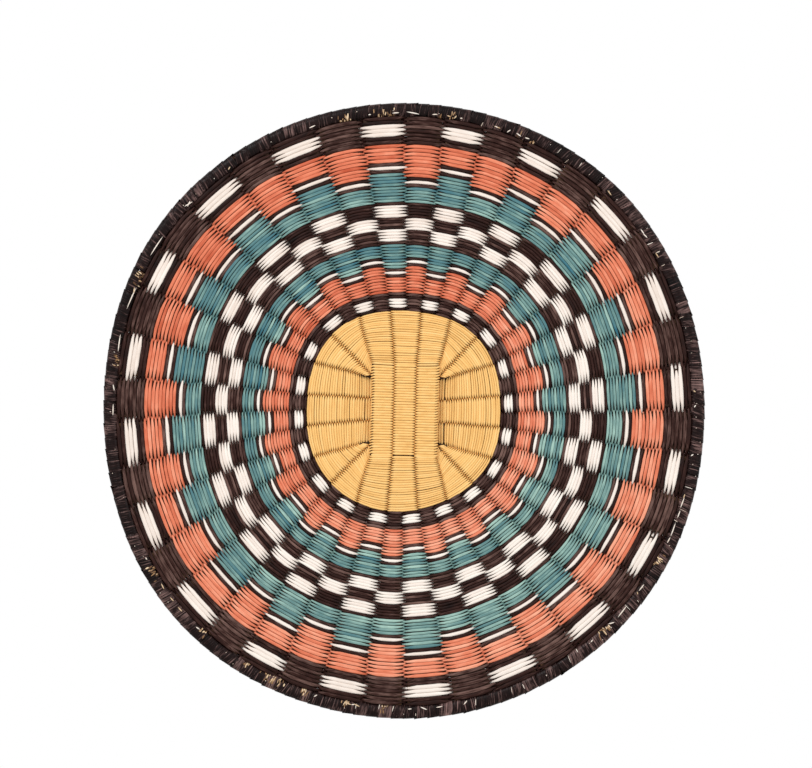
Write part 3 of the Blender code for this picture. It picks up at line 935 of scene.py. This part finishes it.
# %% The bent-over ends of the spokes
CORE_RADIUS = 162.0
STRANDS = 3
STRAND_THICK = 1.4
STRAND_AWAY = 0.75  # from the middle of the core


def core_strand(number):
    """One strand of the core. The strands twist round each other, once in ten spokes."""
    angle = np.arange(0, 360, 3) * np.pi / 180
    twist = angle * 4 + number * 2 * np.pi / STRANDS
    points = polar(CORE_RADIUS + STRAND_AWAY * np.cos(twist), angle, STRAND_AWAY * np.sin(twist))
    return make_path(points, polar(1, angle, 0 * angle), STRAND_THICK, STRAND_THICK, chance.random(),
                     900.0 + number, 10, closed=True)


add_piece("rim_core_twigs", [core_strand(n) for n in range(STRANDS)], TWIG, nodes=["rim_core"])
print("strands of the core", STRANDS)

# %% [markdown]
# The leaf is tough and waxy, so it is the smoothest skin on the plaque. Its streaks are coarser than those
# of a stem, 0.7 mm wide and 7 mm long, since they are the veins. Undyed, its inside is a pale tan.

# %% Leaf for the rim
# The last colour of each leaf is the painted shade on its flanks.
LEAF = dyed_stem("leaf_strip_dyed_black", "030000 1F0F0E 8E706B 020000", 0.34, 0.12, 0.8, (0.2, 0.68),
                 streaks=(7, 0.7, 1.1), relief=0.12)
FRAYED_LEAF = dyed_stem("leaf_frayed_undyed_inside", "4A2F1C A37C54 F2D6B0 2A180D", 0.6, 0.3, 0.5, (0.0, 1.0))
PALE_LEAF = dyed_stem("leaf_edge_pale_inner_skin", "B99A80 EFE0D0 FFF8EE 7A5A44", 0.55, 0.4, 0.2)
print("finishes of leaf", [finish.name for finish in (LEAF, FRAYED_LEAF, PALE_LEAF)])

# %% [markdown]
# One function makes a loop of strip round the rim, and with a share below 1 only a part of its front. So
# it also serves for the veins, the pale edges and the frayed fibres, which lie on top of the loops.

# %% One lap of strip
LAPS = 150
RIM_MIDDLE = (FIELD_RADIUS + RADIUS) / 2 - 0.2
RIM_HALF_WIDE = 3.6
RIM_HALF_THICK = 2.75
RIM_SQUARE = 0.85  # 1 would be an oval rim
LAP_STATIONS, PART_STATIONS = 16, 9
LAP_TILT = 0.012
BACK_SLANT = 1.5  # how far the strip moves on behind the rim
LEAF_LIGHTENING = 0.1  # how much lighter the leaf is towards the lower right


def lap_path(lap, width, height, lift, offset, slant, start=0.0, share=1.0):
    """A loop of strip round the edge of the plaque, or only a share of its front, from the start. The
    front runs from 0 at the outer edge to 1 at the inner edge. Offset and slant are along the rim."""
    closed = share >= 1
    stations = LAP_STATIONS if closed else PART_STATIONS
    round_it = np.arange(stations) / stations * 2 * np.pi if closed else (
        np.pi * (start + share * np.arange(stations) / (stations - 1)))
    wide, high = np.cos(round_it), np.sin(round_it)
    radius = RIM_MIDDLE + (RIM_HALF_WIDE + lift) * squared(wide, RIM_SQUARE)
    depth = (RIM_HALF_THICK + lift) * squared(high, RIM_SQUARE)
    gone = slant * wide * np.sign(high) + np.where(high < 0, BACK_SLANT, 0) * wide
    angle = (lap + 0.5) * 2 * np.pi / LAPS + (offset + gone) / RADIUS
    tangent = np.stack([np.cos(angle), -np.sin(angle), 0 * angle], 1)
    ways = tangent + LAP_TILT * polar(wide, angle, high)
    ends = 1 if closed else 0.35 + 0.65 * np.sin(np.linspace(0.15, np.pi - 0.15, stations))
    # Lighter towards the lower right, darker towards the upper left.
    side_lightening = LEAF_LIGHTENING * np.cos(angle - np.radians(LIGHTER_SIDE))
    return make_path(polar(radius, angle, depth), ways, ends * width, ends * height,
                     chance.random() + side_lightening, chance.random() * SEEDS, stations, closed)


# %% [markdown]
# Each lap is a little wider than its pitch, and lies over the edge of the next. Where the maker split
# the leaf, the pale inside of its edge shows as a tick across the rim.

# %% Wind the strip round the rim
LAP_WIDE = 2 * np.pi * RADIUS / LAPS
LAP_OVERLAP = 1.15
VEINS = 6
LAP_THICK, VEIN_THICK, EDGE_THICK = 0.36, 0.26, 0.3
VEIN_LIFT, EDGE_LIFT = 0.12, 0.26
DOTTED, DOT_LONG = 0.35, 0.04  # share of the other laps that have a pale dot, and its share of the front
PALE_TICKS = (  # degrees clockwise from the top
    15.9, 33, 35, 37.4, 57.3, 59.2, 61.4, 70.9, 104.5, 108.3, 110.1, 112.3, 128.4, 131, 143, 144.9,
    154.9, 158.3, 164.6, 177.2, 181.3, 183, 187.7,
)
ticked = {round(degrees / 360 * LAPS - 0.5) for degrees in PALE_TICKS}
laps, veins, edges = [], [], []
for lap in range(LAPS):
    width = LAP_WIDE * (LAP_OVERLAP + 0.05 * chance.normal())
    shift = float(np.clip(chance.normal(0, 0.45), -0.6, 0.6))
    lift = chance.uniform(-0.03, 0.03)
    slant = chance.normal(0.6, 0.4)
    laps.append(lap_path(lap, width, LAP_THICK, lift, shift, slant))
    for vein in range(VEINS):
        offset = shift + width * (vein - (VEINS - 1) / 2) / VEINS + chance.normal(0, 0.12)
        start = chance.uniform(0.08, 0.25)
        veins.append(lap_path(lap, chance.uniform(0.45, 0.85), VEIN_THICK, lift + VEIN_LIFT, offset, slant,
                              start, chance.uniform(0.5, 0.98 - start)))
    if lap in ticked or chance.random() < DOTTED:
        long = chance.uniform(0.12, 0.4) if lap in ticked else DOT_LONG
        edges.append(lap_path(lap, chance.uniform(0.25, 0.5), EDGE_THICK, lift + EDGE_LIFT,
                              shift + width / 2, slant, chance.uniform(0.3, 0.6), long))
add_piece("rim_leaf_laps", laps, LEAF, squareness=0.5, nodes=["rim_wrap"], aspect=1)
add_piece("rim_leaf_veins", veins, LEAF, sides=6, aspect=4)
add_piece("rim_pale_edges", edges, PALE_LEAF, sides=6, aspect=6)
print("laps", len(laps), "with a pale edge", len(edges))

# %% [markdown]
# In some places the leaf has frayed, and its undyed inside shows as short brown fibres. Slivers of pale
# skin lie along the inner side of the rim, the longest of them on the left. The larger places are where
# the photograph has them, and small slivers are strewn between.

# %% Frayed spots and slivers
FRAYED = (
    # middle and span, in degrees clockwise from the top
    (8, 0.8), (10.4, 1.2), (25.2, 0.5), (28.1, 0.8), (121.5, 2.0), (138.3, 2.5), (184.4, 1.6), (191.9, 1.6),
    (201, 1.5), (208, 4.5), (214, 1.6), (224.5, 1.8), (239, 2.6), (282, 2.0), (299, 3.2), (348.3, 2.5),
    (356.1, 3.5),
)
SLIVERS = (
    # middle in degrees, and length
    (2, 7.5), (6.6, 3.0), (20.1, 3.2), (22.7, 1.6), (24.9, 3.2), (26.8, 2.7), (56.2, 3.0), (108.9, 6.0),
    (111.3, 4.5), (114.6, 8.0), (127.4, 4.5), (133.2, 7.8), (136.2, 3.0), (172.9, 3.5), (176, 3.5),
    (272, 6.5), (276.5, 3.5), (285.5, 9.5), (294.6, 12.5), (305.5, 11.5), (315, 4.5), (358.4, 4.0),
)
SLIVER_RADIUS = FIELD_RADIUS + 1.7
SLIVER_DEPTH = RIM_HALF_THICK + 0.35
SMALL_SLIVERS = 30
FIBRES_PER_DEGREE = 6


def frayed_fibre(middle, span):
    """One short fibre, near the middle of the rim's front."""
    lap = (middle + chance.normal(0, span / 3)) / 360 * LAPS - 0.5
    return lap_path(lap, chance.uniform(0.45, 1.0), EDGE_THICK, chance.uniform(0.2, 0.34), 0,
                    chance.normal(0.6, 0.7), chance.uniform(0.4, 0.72), chance.uniform(0.08, 0.26))


def sliver(middle, long):
    """A thin pale blade along the rim."""
    share = np.linspace(-0.5, 0.5, 9)
    angle = np.radians(middle) + share * long / SLIVER_RADIUS
    radius = SLIVER_RADIUS + share * chance.normal(0, 0.8)
    blade = 0.12 + np.cos(np.pi * share) ** 0.7  # pointed at both ends
    return make_path(polar(radius, angle, 0 * share + SLIVER_DEPTH), polar(1, angle, 0 * angle),
                     0.62 * blade, 0.3 * blade, 0.8, chance.random() * SEEDS, 8)


fibres = [frayed_fibre(middle, span) for middle, span in FRAYED
          for _ in range(round(span * FIBRES_PER_DEGREE))]
add_piece("rim_frayed_fibres", fibres, FRAYED_LEAF, sides=6, aspect=4)
slivers = [sliver(middle, long) for middle, long in SLIVERS]
small = [sliver(chance.uniform(0, 360), chance.uniform(0.8, 4)) for _ in range(SMALL_SLIVERS)]
add_piece("rim_pale_slivers", slivers + small[::2], PALE_LEAF, sides=6, aspect=12)
add_piece("rim_brown_slivers", small[1::2], FRAYED_LEAF, sides=6, aspect=12)
print("frayed fibres", len(fibres), "slivers", len(SLIVERS))
